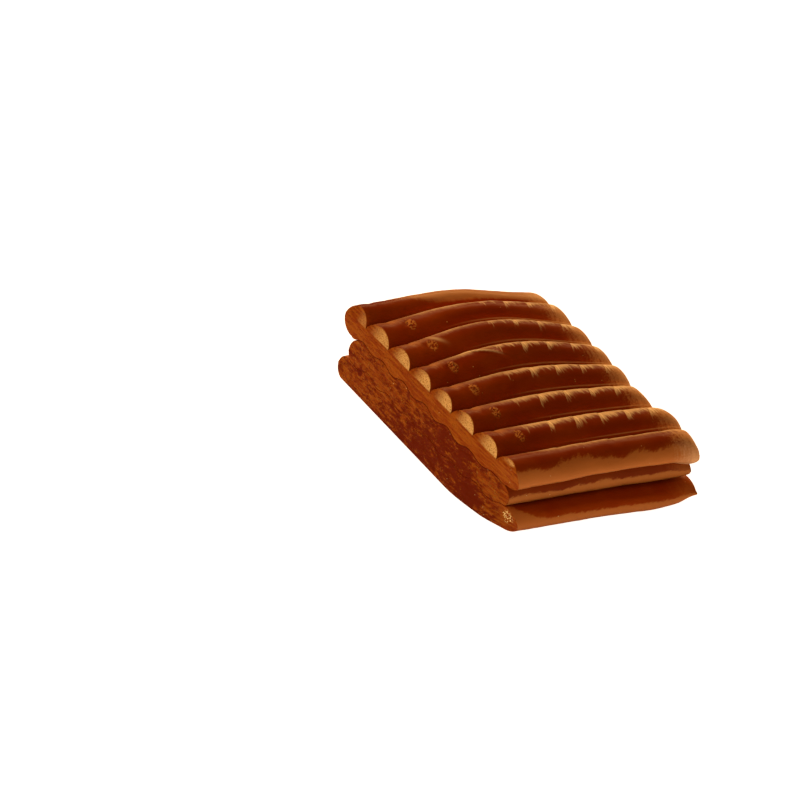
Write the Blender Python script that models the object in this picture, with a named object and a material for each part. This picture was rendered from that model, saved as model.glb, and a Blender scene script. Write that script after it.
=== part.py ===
"""Caramel belt candy: a short, thick piece of soft caramel made of three ribbed belts.

Each belt is a row of round ropes that fused side by side as they were pressed out. The belts lie on
each other with the ropes of one in the grooves of the next, so the middle belt stands back at both
sides. The stack was cut on the slant while it was soft: the ends are squeezed thinner than the
middle, and the blade sheared the tops of the ropes off at an angle.

X runs along the ropes, Y across them from the front to the back, and Z up. The origin is under the
middle of the piece, on the surface that it lies on.

Run with: blender --background --python part.py
"""

import math

import bmesh
import bpy

MM = 0.001

# The belts. Rope widths run from the front edge of the belt to its back edge.
TOP_FRONT = -12.8 * MM
TOP_ROPES = [w * MM for w in (3.15, 3.32, 3.14, 3.12, 3.12, 3.2, 3.53, 3.1)]
MIDDLE_FRONT = -11.6 * MM
MIDDLE_ROPES = [w * MM for w in (3.4, 3.3, 3.2, 3.2, 3.3, 3.4, 3.1)]
BOTTOM_FRONT = -12.6 * MM
BOTTOM_ROPES = [w * MM for w in (3.3, 3.2, 3.1, 3.2, 3.1, 3.3, 3.2, 2.4)]
ROPE_PITCH = 3.2 * MM
ROPE_HALF_HEIGHT = 1.66 * MM
SQUASHED_HALF_HEIGHT = 1.35 * MM  # the lower half of the top belt's outer ropes, which rest on nothing
FUSED_ANGLE = math.radians(74)  # where a rope's round side runs into its neighbour's
BELT_RISE = 2.70 * MM  # from the middle of one belt to the middle of the next
LOWEST_MIDDLE = 1.58 * MM  # under the half height, so that each rope rests on a flat strip

# Where the belts press on each other.
SEAM_GAP = 0.3 * MM
SEAM_WAVE = 0.24 * MM  # how far the ropes of one belt sink into the grooves of the next
SEAM_POCKET = 0.38 * MM  # height of the small hollows left along a groove

# The cut ends, seen from above.
LENGTH = 18.1 * MM  # along the ropes, halfway between front and back
LEFT_SLANT = 0.35
RIGHT_SLANT = 0.29
LEFT_FOOT = 1.15 * MM  # how far the cut face leans out from the top grooves down to the surface
LEFT_FRONT_TUCK = 0.9 * MM  # it leans in at the front corner instead
RIGHT_FOOT = 1.0 * MM
LEFT_SHEAR = 0.47  # slope of the facets where the blade took the tops of the ropes
RIGHT_SHEAR = 0.12
RIGHT_BULGE = 0.5 * MM  # two ropes near the front reach this much further at the right end
RIGHT_BULGE_Y = -9.0 * MM
RIGHT_DIP = 0.35 * MM
RIGHT_DIP_Y = -4.7 * MM
RIGHT_DOME = 0.35 * MM  # how far the end of each rope swells past its rim at the right end
RIGHT_ROUNDING = 0.25 * MM  # how much the belts thin out over the last stretch of that end
FAN = 0.025  # how much wider the candy is at the left end than at the right

# The swelling between the squeezed ends, and the slack back right corner.
SWELL = 1.95 * MM
SWELL_Y = 6.0 * MM
SWELL_FRONT_REACH = 9.5 * MM
SWELL_BACK_REACH = 5.5 * MM
CORNER_DROOP = 0.9 * MM

# The belts' sides. The seams between the belts wander up and down there.
CORNER_LIFT = 0.25 * MM  # how far the front right corner curls off the surface
UPPER_SEAM_ARCH = 0.42 * MM  # the front of the upper seam rises halfway along
UPPER_SEAM_DROP = 0.9 * MM  # and falls at the right end
LOWER_SEAM_DROP = 0.35 * MM
BACK_SEAM_DROP = 0.55 * MM  # at the back left corner

CARAMEL = (0.235, 0.062, 0.014, 1.0)
CARAMEL_ROUGHNESS = 0.34

STEPS_PER_ROPE = 6
STATIONS = (0.0, 0.05, 0.12, 0.21, 0.31, 0.41, 0.5, 0.59, 0.69, 0.79, 0.88, 0.95, 1.0)
CUT_SHARES = (0.0, 0.3, 0.75, 1.0)  # of the way up a cut face
WELD = 0.001 * MM

MIDDLE_HEIGHTS = [LOWEST_MIDDLE + BELT_RISE * layer for layer in range(3)]
SEAM_HEIGHTS = [LOWEST_MIDDLE + BELT_RISE * (layer + 0.5) for layer in range(2)]
FULL_HEIGHT = MIDDLE_HEIGHTS[2] + ROPE_HALF_HEIGHT
GROOVE_HEIGHT = MIDDLE_HEIGHTS[2] + ROPE_HALF_HEIGHT * math.cos(FUSED_ANGLE)


def clear_scene():
    for old in list(bpy.data.objects):
        bpy.data.objects.remove(old)


def ease(start, end, value):
    """0 before start, 1 after end, and a smooth climb between them."""
    t = min(1.0, max(0.0, (value - start) / (end - start)))
    return t * t * (3 - 2 * t)


def bump(middle, reach, value):
    """1 in the middle, and falling away smoothly on both sides."""
    return math.exp(-(((value - middle) / reach) ** 2))


def swelling(along, y):
    """How much the candy's full height grows at a share of the way along the ropes."""
    reach = SWELL_FRONT_REACH if y < SWELL_Y else SWELL_BACK_REACH
    hump = math.sin(math.pi * along) ** 1.4 * bump(SWELL_Y, reach, y)
    droop = ease(0.5, 0.95, along) * ease(8.5 * MM, 12.5 * MM, y)
    return SWELL * hump - CORNER_DROOP * droop


def left_end(y, z):
    """X of the left cut face: it leans out below the grooves and is sheared back above them."""
    shear_start = GROOVE_HEIGHT + 0.7 * MM * ease(-9 * MM, -12.5 * MM, y)
    foot = LEFT_FOOT * ease(-12.5 * MM, -5 * MM, y) - LEFT_FRONT_TUCK * ease(-9 * MM, -13 * MM, y)
    lean = foot * min(0.0, z / GROOVE_HEIGHT - 1)
    return -LENGTH / 2 - LEFT_SLANT * y + lean + LEFT_SHEAR * max(0.0, z - shear_start)


def right_end(y, z):
    """X of the right cut face, which leans and is sheared the other way."""
    lean = RIGHT_FOOT * max(0.0, 1 - z / GROOVE_HEIGHT)
    bulge = RIGHT_BULGE * bump(RIGHT_BULGE_Y, 2.1 * MM, y)
    dip = RIGHT_DIP * bump(RIGHT_DIP_Y, 2.5 * MM, y)
    shear = RIGHT_SHEAR * max(0.0, z - GROOVE_HEIGHT)
    return LENGTH / 2 - RIGHT_SLANT * y + lean + bulge - dip - shear


def seam(layer, y):
    """Height of the wavy seam under belt 1 or 2, which dips where ropes of the upper belt sit."""
    wave = SEAM_WAVE * math.cos(2 * math.pi * y / ROPE_PITCH)
    return SEAM_HEIGHTS[layer - 1] + (wave if layer == 2 else -wave)


def belt_outline(layer, edge, widths):
    """(y, upper z, lower z) across a belt, from its front edge to its back edge."""
    outline = []
    middle_z = MIDDLE_HEIGHTS[layer]
    for number, width in enumerate(widths):
        outermost = number in (0, len(widths) - 1)
        front = math.pi / 2 if number == 0 else FUSED_ANGLE
        back = math.pi / 2 if number == len(widths) - 1 else FUSED_ANGLE
        for step in range(STEPS_PER_ROPE + 1):
            if number > 0 and step == 0:
                continue  # the groove that the rope before it has made
            angle = -front + (front + back) * step / STEPS_PER_ROPE
            limit = front if angle < 0 else back
            y = edge + width / 2 * (1 + math.sin(angle) / math.sin(limit))
            squashed = outermost and layer == 2
            lower_half = SQUASHED_HALF_HEIGHT if squashed else ROPE_HALF_HEIGHT
            upper = middle_z + ROPE_HALF_HEIGHT * math.cos(angle)
            lower = middle_z - lower_half * math.cos(angle)
            free_side = (number == 0 and angle < 0) or (number == len(widths) - 1 and angle > 0)
            outline.append((y, *pressed(layer, y, upper, lower, free_side)))
        edge += width
    return outline


def pressed(layer, y, upper, lower, free_side):
    """The upper and lower height at y once the belt is pressed against its neighbours or the table."""
    if layer < 2:
        ceiling = seam(layer + 1, y) - SEAM_GAP / 2
        upper = min(upper, ceiling)
        if not free_side:
            upper = max(upper, ceiling - SEAM_POCKET)
    if layer > 0:
        floor = seam(layer, y) + SEAM_GAP / 2
        lower = max(lower, floor)
        if not free_side:
            lower = min(lower, floor + SEAM_POCKET)
    else:
        lower = max(lower, 0.0)
    return upper, max(lower, 0.0)


def wander(along, y, z):
    """How far a point close to the front or the back side is moved up or down with the seams."""
    front = ease(-7 * MM, -13 * MM, y)
    lift = CORNER_LIFT * ease(0.8, 1.02, along) * max(0.0, 1 - z / FULL_HEIGHT)
    upper = UPPER_SEAM_ARCH * bump(0.55, 0.3, along) - UPPER_SEAM_DROP * ease(0.84, 1.03, along)
    lower = -LOWER_SEAM_DROP * (0.8 + 0.8 * ease(0.6, 1.0, along))
    seams = upper * bump(SEAM_HEIGHTS[1], 1.5 * MM, z) + lower * bump(SEAM_HEIGHTS[0], 1.4 * MM, z)
    corner = ease(7 * MM, 12.5 * MM, y) * ease(0.45, 0.05, along)
    back = BACK_SEAM_DROP * corner * math.sin(math.pi * min(1.0, z / FULL_HEIGHT))
    return front * (lift + seams) - back


def place(along, y, z):
    """A point of the straight stack carried to its place between the slanted, squeezed ends."""
    left = left_end(y, z)
    x = left + along * (right_end(y, z) - left)
    height = z * (1 + swelling(along, y) / FULL_HEIGHT) + wander(along, y, z)
    return x, y * (1 + FAN * (0.5 - along)), height


def thinned(along, upper, lower):
    """The upper and lower height close to the right end, where the belts round off."""
    share = RIGHT_ROUNDING * ease(0.9, 1.02, along) / (2 * ROPE_HALF_HEIGHT)
    return upper - share * (upper - lower), lower + share * (upper - lower)


def cut_rows(outline, along, dome):
    """Rows of points over a cut face, from the belt's underside to its top, with a row at the grooves."""
    rows = [[] for _ in CUT_SHARES]
    for y, full_upper, full_lower in outline:
        upper, lower = thinned(along, full_upper, full_lower)
        bend = min(GROOVE_HEIGHT, lower + CUT_SHARES[-2] * (upper - lower))
        for row, share in zip(rows, CUT_SHARES):
            z = bend if share == CUT_SHARES[-2] else lower + share * (upper - lower)
            x, y_placed, z_placed = place(along, y, z)
            thickness = min(1.0, (upper - lower) / (2 * ROPE_HALF_HEIGHT))
            row.append((x + dome * thickness * 4 * share * (1 - share), y_placed, z_placed))
    return rows


def add_sheet(mesh, rows):
    """Four-sided faces over rows of points."""
    made = [[mesh.verts.new(point) for point in row] for row in rows]
    for one, other in zip(made, made[1:]):
        for k in range(len(one) - 1):
            mesh.faces.new((one[k], one[k + 1], other[k + 1], other[k]))


def make_belt(name, layer, front, widths, material, parent):
    """A closed belt: an upper and a lower sheet and the two cut faces, welded along their edges."""
    outline = belt_outline(layer, front, widths)
    mesh = bmesh.new()
    for side in (0, 1):
        add_sheet(mesh, [
            [place(along, y, thinned(along, upper, lower)[side]) for y, upper, lower in outline]
            for along in STATIONS
        ])
    for along, dome in ((STATIONS[0], 0.0), (STATIONS[-1], RIGHT_DOME)):
        add_sheet(mesh, cut_rows(outline, along, dome))
    bmesh.ops.remove_doubles(mesh, verts=mesh.verts, dist=WELD)
    bmesh.ops.recalc_face_normals(mesh, faces=mesh.faces)
    bmesh.ops.translate(mesh, verts=mesh.verts, vec=(0, 0, -MIDDLE_HEIGHTS[layer]))
    data = bpy.data.meshes.new(name)
    mesh.to_mesh(data)
    mesh.free()
    data.materials.append(material)
    data.shade_smooth()
    data.set_sharp_from_angle(angle=math.radians(40))
    belt = bpy.data.objects.new(name, data)
    bpy.context.scene.collection.objects.link(belt)
    belt.location = (0, 0, MIDDLE_HEIGHTS[layer])
    belt.parent = parent
    return belt


def caramel(name, shade):
    """Soft caramel, a little darker or lighter from belt to belt."""
    material = bpy.data.materials.new(name)
    material.use_nodes = True
    shader = material.node_tree.nodes["Principled BSDF"]
    shader.inputs["Base Color"].default_value = (*[c * shade for c in CARAMEL[:3]], 1.0)
    shader.inputs["Roughness"].default_value = CARAMEL_ROUGHNESS
    shader.inputs["Metallic"].default_value = 0.0
    return material


def centre_footprint(parent, belts):
    """Moves the stack so that the middle of its footprint is over the origin."""
    corners = [vertex.co for belt in belts for vertex in belt.data.vertices]
    for axis in (0, 1):
        low = min(c[axis] for c in corners)
        high = max(c[axis] for c in corners)
        parent.location[axis] = -(low + high) / 2


def main():
    clear_scene()
    stack = bpy.data.objects.new("caramel_belt_candy", None)
    bpy.context.scene.collection.objects.link(stack)
    belts = [
        make_belt("belt_bottom", 0, BOTTOM_FRONT, BOTTOM_ROPES, caramel("caramel_bottom", 0.9), stack),
        make_belt("belt_middle", 1, MIDDLE_FRONT, MIDDLE_ROPES, caramel("caramel_middle", 0.96), stack),
        make_belt("belt_top", 2, TOP_FRONT, TOP_ROPES, caramel("caramel_top", 1.0), stack),
    ]
    centre_footprint(stack, belts)


main()
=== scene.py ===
"""Caramel belt candy: the fine surfaces of its ribbed belts, their caramel, and a small studio.

Lengths in the shape functions are in millimetres. X runs along the ropes, Y across them from the
front to the back, and Z up. A belt is a grid of two parameters: "along" goes from 0 at the left cut
to 1 at the right end, and a second one goes round the belt's outline. A pair of values named for a
stretch is where it starts and ends, and a pair named "..._AT" is the middle and reach of a bell.
"""

import math
from collections import namedtuple

import bpy
import numpy as np
from bpy.props import FloatProperty, FloatVectorProperty, PointerProperty
from mathutils import Matrix, Vector


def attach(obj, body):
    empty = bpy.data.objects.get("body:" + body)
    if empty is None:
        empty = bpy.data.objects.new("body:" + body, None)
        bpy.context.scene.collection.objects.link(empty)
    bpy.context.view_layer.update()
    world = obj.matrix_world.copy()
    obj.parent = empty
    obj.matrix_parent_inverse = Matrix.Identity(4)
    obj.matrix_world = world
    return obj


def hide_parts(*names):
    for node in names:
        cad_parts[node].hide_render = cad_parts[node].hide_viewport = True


bl_info = {
    "name": "Caramel Belt Candy",
    "version": (1, 0, 0),
    "blender": (4, 5, 0),
    "location": "3D View > Sidebar > Caramel",
    "description": "Fine belts, glossy caramel and a small studio for a ribbed caramel candy",
    "category": "Add Mesh",
}

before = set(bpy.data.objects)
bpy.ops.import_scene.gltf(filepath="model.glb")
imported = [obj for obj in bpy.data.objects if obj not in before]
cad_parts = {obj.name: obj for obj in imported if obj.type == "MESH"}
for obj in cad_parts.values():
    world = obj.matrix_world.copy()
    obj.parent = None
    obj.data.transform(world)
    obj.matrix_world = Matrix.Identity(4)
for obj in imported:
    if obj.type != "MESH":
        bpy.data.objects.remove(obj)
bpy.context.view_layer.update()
MM = 0.001

# The belts, as in the solids: name, front edge and rope widths from the front to the back.
BELTS = (
    ("bottom", -12.6, (3.3, 3.2, 3.1, 3.2, 3.1, 3.3, 3.2, 2.4)),
    ("middle", -11.6, (3.4, 3.3, 3.2, 3.2, 3.3, 3.4, 3.1)),
    ("top", -12.8, (3.15, 3.32, 3.14, 3.12, 3.12, 3.2, 3.53, 3.1)),
)
TOP = 2
ROPE_PITCH = 3.2
ROPE_HALF_HEIGHT = 1.66
SQUASHED_HALF_HEIGHT = 1.35
FUSED_ANGLE = math.radians(74)
BELT_RISE = 2.70
LOWEST_MIDDLE = 1.58
FOOTPRINT_SHIFT = (0.334, -0.04)  # brings the middle of the footprint over the origin

MIDDLE_HEIGHTS = [LOWEST_MIDDLE + BELT_RISE * layer for layer in range(3)]
SEAM_HEIGHTS = [LOWEST_MIDDLE + BELT_RISE * (layer + 0.5) for layer in range(2)]
FULL_HEIGHT = MIDDLE_HEIGHTS[TOP] + ROPE_HALF_HEIGHT
GROOVE_HEIGHT = MIDDLE_HEIGHTS[TOP] + ROPE_HALF_HEIGHT * math.cos(FUSED_ANGLE)

# The slanted ends.
LENGTH = 18.1
LEFT_SLANT = 0.35
LEFT_FOOT = 1.15
LEFT_FOOT_Y = (-12.5, -5.0)
LEFT_FRONT_TUCK = 0.9
LEFT_TUCK_Y = (-9.0, -13.0)
LEFT_SHEAR = 0.47
FRONT_SHEAR_RISE = 0.7
FRONT_SHEAR_Y = (-9.0, -12.5)
RIGHT_SLANT = 0.29
RIGHT_FOOT = 1.0
RIGHT_SHEAR = 0.12
RIGHT_BULGE = 0.5
RIGHT_BULGE_AT = (-9.0, 2.1)
RIGHT_DIP = 0.35
RIGHT_DIP_AT = (-4.7, 2.5)
RIGHT_DOME = 0.35
RIGHT_ROUNDING = 0.25
ROUNDING_ALONG = (0.9, 1.02)
NOSE_REACH = 0.055
NOSE_SHARE = 0.13
LOWER_NOSE = 0.35  # how much of the nose the lower belts have
FAN = 0.025

# The swelling of the top, and the seams, which wander near the front and back sides.
SWELL = 1.95
SWELL_POWER = 1.4
SWELL_Y = 6.0
SWELL_FRONT_REACH = 9.5
SWELL_BACK_REACH = 5.5
CORNER_DROOP = 0.9
DROOP_ALONG = (0.5, 0.95)
DROOP_Y = (8.5, 12.5)
CORNER_LIFT = 0.25
LIFT_ALONG = (0.8, 1.02)
FRONT_SEAMS_Y = (-7.0, -13.0)
UPPER_SEAM_ARCH = 0.42
UPPER_ARCH_AT = (0.55, 0.3)
UPPER_SEAM_DROP = 0.9
UPPER_DROP_ALONG = (0.84, 1.03)
UPPER_SEAM_REACH = 1.5
LOWER_SEAM_DROP = 0.28
LOWER_DROP_ALONG = (0.6, 1.0)
LOWER_SEAM_REACH = 1.4
BACK_SEAM_DROP = 0.55
BACK_SEAMS_Y = (7.0, 12.5)
BACK_DROP_ALONG = (0.45, 0.05)
SEAM_GAP = 0.3
SEAM_WAVE = 0.24
SEAM_POCKET = 0.38
SEAM_DRIFT = 0.12
DRIFT_CELL = 1.9
DRIFT_SEED = 50

# The fine surface. Near the cuts the caramel is smeared over the seams and the underside's grooves.
SMEAR_GAP = 0.08
SMEAR_ALONG = (0.14, 0.02)
SKIN_WAVES = (  # height, stretch along and across the ropes, cell and seed
    (0.035, 1.0, 1.6, 2.3, 11),
    (0.018, 1.0, 1.5, 0.9, 12),
    (0.008, 0.6, 1.0, 0.2, 13),
)
HELD_SMOOTH = 0.8  # how much of the relief is lost where belts touch
FOLD_ROPE = 4
FOLD_HEIGHT = 0.16
FOLD_START = (0.24, 0.84)  # share of the way along, and of the rope's width
FOLD_FALL = 5.0
FOLD_BEND = 1.3
FOLD_FLANKS = (0.10, 0.045)  # reaches of its back and front flank
FOLD_RISE_ALONG = (0.2, 0.3)
FOLD_END_ALONG = (0.5, 0.36)
FIRST_CRIMP = 0.50
CRIMP_LEAN = 0.045
CRIMP_STEP = 2.45
CRIMP_WALL = 0.16
CRIMP_TAIL = 1.3
CRIMP_TAIL_POWER = 1.4
CRIMP_FLANK = (0.36, 0.92)
CRIMP_X = (-3.2, 0.6)
CRIMP_END_ALONG = (0.98, 0.9)
CRIMP_BACK_Y = (9.8, 9.4)
CRIMP_FRONT_Y = (-13.5, -10.0)
DIMPLES = {  # rope: place along it, and strength
    1: (0.145, 0.7), 2: (0.15, 0.9), 3: (0.15, 0.8), 4: (0.14, 1.0), 5: (0.13, 1.1), 6: (0.13, 1.0),
}
DIMPLE_REACH = (0.03, 0.2)  # along the rope and across it, as a share of its width
DIMPLE_SHARE = 0.42
DIMPLE_GRAIN = ((1.0, 0.17, 3), (0.6, 0.09, 4))  # height, cell and seed
DIMPLE_ROUGHNESS = 0.45
DIMPLE_SINK = 0.5
PINCH_DEPTH = 0.07
PINCH_AT = (0.072, 0.022)
PINCH_SHARE = (0.2, 0.75)
RELIEF_EDGE = 0.02  # the relief fades to the ends
CORNER_CURL = 0.75  # of the bottom belt's front right corner
CURL_ALONG = (0.91, 1.0)
CURL_Y = (-9.5, -12.5)
CURL_Z = (2.4, 0.0)
CORNER_PUSH = 0.12
CORNER_BLUNT = 0.3
BLUNT_Z = 1.9
BLUNT_ALONG = (0.86, 0.97)
BLUNT_Y = (-9.5, -12.0)
CORNER_TUCK = 0.35
TUCK_Z = (1.3, 0.2)
FRONT_BELLY = 0.25
BELLY_AT = (0.78, 0.18)
BELLY_Y = (-10.5, -12.5)

# The cut faces. A facet is the pale sheared end of a top rope: a smeared finish, and partly painted light
# where it faces the left light.
FACET_EDGE = 0.12
FACET_NARROWING = 0.45
FACET_NARROW_Y = (-10.5, -12.5)
FACET_SHARE = (0.90, 0.30)
BACK_ROPE_Y = 9.8
BACK_FACET = 0.45
BACK_FACET_SHARE = (0.55, 0.2)
FRONT_ROPE_Y = -9.7
FRONT_FACET_PART = (0.80, 0.93)
FACET_DULLING = 0.2
FACET_DULL_Y = (6.0, 6.5)
FACET_SMOOTHING = 0.7
BLADE_WAVE = 0.03
BLADE_SEED = 21
TORN_SEED = 22
TORN_FINE_SEED = 31
PIT_SEED = 41
PIT_DEPTH = 4.0
PIT_LEVEL = 0.55  # of the noise, above which the surface is pitted
THIN_CUT = 0.3  # in millimetres, up to which a cut is smoother
CLEAN_CUT = 0.22  # the top belt's roughness, as a share of the lower ones'
PIT = (9.14, 2.53, 0.42, 0.45)  # Y and Z of a torn-out pit in the bottom belt's cut, and reaches
# Y and Z of the painted glints on crystals at the front of the bottom cut, and reaches.
GLINT_SPOT = (-11.75, 1.9, 0.45, 0.75)  # and of its crystals at the front

# The caramels. A pale side starts at "rub", a share of the half height below the crest, and is
# mixed in by "pale": it is painted light from below. It grows upwards by "grown" at the left cut.
# "shade" multiplies the skin: it is painted shade on the middle belt, which lies under the top belt.
Finish = namedtuple("Finish", "ribbed rub pale grown shade")
FINISH = {
    "bottom": Finish(ribbed=False, rub=0.66, pale=0.54, grown=0.7, shade=1.15),
    # The middle belt's skin is darker, and its pale side starts lower: painted shade under the top belt.
    "middle": Finish(ribbed=False, rub=0.93, pale=0.50, grown=0.0, shade=0.66),
    "top": Finish(ribbed=True, rub=0.24, pale=0.55, grown=0.0, shade=1.0),
}
MARKS = ("facet", "share", "along", "side")
# Painted shade that darkens the crests of the ribs.
CREST_SHADE_TINT = (0.66, 0.50, 0.34, 1.0)
SHADOW_TINT = (0.54, 0.47, 0.34, 1.0)
INDEX_OF_REFRACTION = 1.40
GLOSS_LEVEL = 0.08

# The marks of the skin: roller scuffs, painted highlights, painted light and painted shade.
# A share is of a rope's width, from its front to its back groove.
RIB_MASK = (0.0, 0.02)
# Where the painted crest shade lies across the ropes, and its reach.
CREST_SHADE_AT = (0.66, 0.26)
STRIP_EDGE = 0.1
INNER_ROPES_Y = (-9.5, 9.6)
FOLD_ROPE_Y = (0.1, 3.0)
PRESSED_X = (-3.5, 0.8)
PRESSED_BACK_Y = (9.9, 9.5)
PRESSED_FRONT_Y = (-10.4, -9.2)
CRIMP_STRAY = 0.4
CRIMP_FADE = 0.85
BAND_START = 0.66
BAND_EDGE = (-0.06, 0.24)
BAND_BACK_Y = (9.4, 10.4)
BAND_BACK_ALONG = (0.1, 0.5)
BAND_BULGE_X_AT = (-4.0, 2.4)
BAND_BULGE_Y = (6.3, 9.7)
BAND_SIDE = (0.5, 0.15)
BAND_NEAR = 0.22  # what is left of the band and line at the left cut
BAND_NEAR_ALONG = (0.08, 0.28)
LINE_SHARE = (0.78, 0.92)
LINE_BACK_Y = (2.0, 8.0)
LINE_BACK_ALONG = (0.2, 0.4)
TICK_SHARE = (0.34, 0.52)
TICK_LEAN = 0.55
TICK_WIDENING = (0.45, 1.0)
BACK_ROPE_EDGE = (9.5, 10.0)
CREASE_REACH = 0.035
CREASE_AT = (0.32, 0.09)
CREASE_END = (0.42, 0.38)
STREAK_LEAN = 0.27
STREAK_START = (-7.4, 0.75)  # X, and the share of the rope's width there
STREAK_REACH = 0.07
STREAK_X_AT = (-6.7, 0.6)
STREAK_ROPE_Y = (3.2, 6.1)
LEDGE_ALONG = (0.25, 0.6)
LEDGE_AT = (0.066, 0.010)
SPECKLE_ALONG_AT = (0.142, 0.022)
SPECKLE_SHARE_AT = (0.42, 0.19)
# The painted light on the dent behind each facet.
PINCH_LIGHT_AT = (0.075, 0.035)
PINCH_LIGHT_SHARE = (0.45, 0.75)
# The right end's wear and painted highlight.
WORN_AND_LIT_ALONG = (0.84, 1.0)
BACK_FLANK_Y = (8.0, 11.0)
BACK_FLANK_SIDE = (0.05, 0.4)
# Painted shade that dims the painted light on the back flank.
BACK_FLANK_SHADING = 0.3
# The painted light from below on the sides.
SIDE_LIGHT_EDGE = (-0.07, 0.08)
SIDE_LIGHT_FROM_CREST = (0.0, 0.04)
TOP_SIDE_LIGHT_AT = (0.32, 0.10)
CUT_SIDE_LIGHT_AT = (0.0, 0.09)
# Painted shade underneath and near the table.
UNDERSIDE = (1.1, 1.6)
NEAR_TABLE_Z = (1.8, 0.4)
CLOUD_EDGE = (0.3, 0.75)
FACET_GRAIN = (0.30, 0.54)
BLADE_EDGE = (0.35, 0.65)
CRUMB_DENSITY = 0.9
CRUMB_DISTANCE = (0.055, 0.03)
CRUMB_STRENGTH = 0.6
CRYSTAL_DENSITY = 7.0
CRYSTAL_DISTANCE = (0.40, 0.28)
PATCH_EDGE = (0.42, 0.52)
FLECK_EDGE = (0.58, 0.68)
TORN_FROM_Y = (-11.4, -10.6)
GLOOM = (  # how much darker the patches are, the place in Y and Z, and the reaches
    (0.18, -7.9, 1.4, 1.4, 1.2),
    (-0.10, -9.6, 3.9, 1.5, 1.1),
)
SLANTED_GLOOM = 0.10
SLANTED_GLOOM_AT = (-0.5, 5.5)  # of Y and Z added up

# Turns about the axes, in degrees, of the noises that run in streaks.
CUT_TURN = (0, 0, 19)
FEATHER_TURN = (0, 0, 20)
BRUSH_TURN = (0, -38, 0)

# The grids.
STEPS_PER_ROPE = 24
STATIONS = 210
CUT_ROWS = 22
FEWEST_STEPS = 6
END_CROWDING = 0.35
BEND_PART = 0.75
ROWS_BELOW_BEND = 0.55
SHARP_ANGLE = math.radians(38)

# The camera, in millimetres of the row frame, and the lens that the photo's perspective fits.
CAMERA_PLACE = (-53.056, -121.064, 123.503)
CAMERA_RIGHT = (0.96138, -0.26723, 0.06585)
CAMERA_UP = (0.13392, 0.66323, 0.73634)
CAMERA_BACK = (-0.24044, -0.69909, 0.67340)
LENS = 85.0
SENSOR = 36.0
NEAREST = 0.005

# The studio, in metres and watts: each light's name, place, size and power.
FLOOR_REACH = 1.5
LIGHTS = (
    ("back", (0.05, 0.40, 0.20), (0.6, 0.2), 2.1),
    ("left", (-0.40, 0.06, 0.12), (0.4, 0.2), 1.25),
    ("right", (0.42, 0.02, 0.10), (0.4, 0.16), 0.7),
)
LIGHTS_AIM = (0, 0, 0.006)


def ease(start, end, value):
    """0 before start, 1 after end, and 3t^2 - 2t^3 between them."""
    t = np.clip((value - start) / (end - start), 0.0, 1.0)
    return t * t * (3 - 2 * t)


def bump(middle, reach, value):
    """The bell curve e^-(d / reach)^2 of the distance d from the middle."""
    return np.exp(-(((value - middle) / reach) ** 2))


def mottle(x, y, cell, seed):
    """Smooth noise from -1 to 1: eased mixes of random values at the corners of square cells."""
    size = 64
    centre = 31.0
    draw = np.random.default_rng(seed).uniform(-1, 1, (size, size))
    gx, gy = x / cell + centre, y / cell + centre
    ix, iy = np.floor(gx).astype(int), np.floor(gy).astype(int)
    tx, ty = ease(0, 1, gx - ix), ease(0, 1, gy - iy)
    left, right, front, back = ix % size, (ix + 1) % size, iy % size, (iy + 1) % size
    near = draw[left, front] * (1 - tx) + draw[right, front] * tx
    far = draw[left, back] * (1 - tx) + draw[right, back] * tx
    return near * (1 - ty) + far * ty


def swelling(along, y):
    """Growth of the full height: sin(pi along)^1.4 times a bell across, less the slack corner."""
    reach = np.where(y < SWELL_Y, SWELL_FRONT_REACH, SWELL_BACK_REACH)
    hump = np.clip(np.sin(np.pi * along), 0, 1) ** SWELL_POWER * bump(SWELL_Y, reach, y)
    return SWELL * hump - CORNER_DROOP * ease(*DROOP_ALONG, along) * ease(*DROOP_Y, y)


def shear_start(y):
    """Height above which the left cut is sheared back: at the grooves, and higher at the front."""
    return GROOVE_HEIGHT + FRONT_SHEAR_RISE * ease(*FRONT_SHEAR_Y, y)


def left_end(y, z):
    """X of the left cut: a slanted line, leaning out below the grooves and sheared back above them."""
    foot = LEFT_FOOT * ease(*LEFT_FOOT_Y, y) - LEFT_FRONT_TUCK * ease(*LEFT_TUCK_Y, y)
    lean = foot * np.minimum(0.0, z / GROOVE_HEIGHT - 1)
    return -LENGTH / 2 - LEFT_SLANT * y + lean + LEFT_SHEAR * np.maximum(0.0, z - shear_start(y))


def right_end(y, z):
    """X of the right end: a slanted line with a bulge, a dip and a foot."""
    foot = RIGHT_FOOT * np.maximum(0.0, 1 - z / GROOVE_HEIGHT)
    shear = RIGHT_SHEAR * np.maximum(0.0, z - GROOVE_HEIGHT)
    bulge = RIGHT_BULGE * bump(*RIGHT_BULGE_AT, y) - RIGHT_DIP * bump(*RIGHT_DIP_AT, y)
    return LENGTH / 2 - RIGHT_SLANT * y + foot + bulge - shear


def seam(layer, y):
    """Height of the seam under belt 1 or 2: a cosine wave with the pitch of the ropes, and a drift."""
    wave = SEAM_WAVE * np.cos(2 * np.pi * y / ROPE_PITCH)
    drift = SEAM_DRIFT * mottle(y, y * 0 + layer, DRIFT_CELL, DRIFT_SEED + layer)
    return SEAM_HEIGHTS[layer - 1] + (wave if layer == TOP else -wave) + drift


def pressed(layer, y, upper, lower, free, gap, pocket):
    """Upper and lower heights clipped to the seams, with pockets of a given depth along the grooves."""
    if layer < TOP:
        ceiling = seam(layer + 1, y) - gap / 2
        upper = np.minimum(upper, ceiling)
        upper = np.where(free, upper, np.maximum(upper, ceiling - pocket))
    if layer > 0:
        floor = seam(layer, y) + gap / 2
        lower = np.maximum(lower, floor)
        lower = np.where(free, lower, np.minimum(lower, floor + pocket))
    elif pocket == 0:
        lower = np.where(free, lower, 0.0)
    return upper, np.maximum(lower, 0.0)


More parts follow.
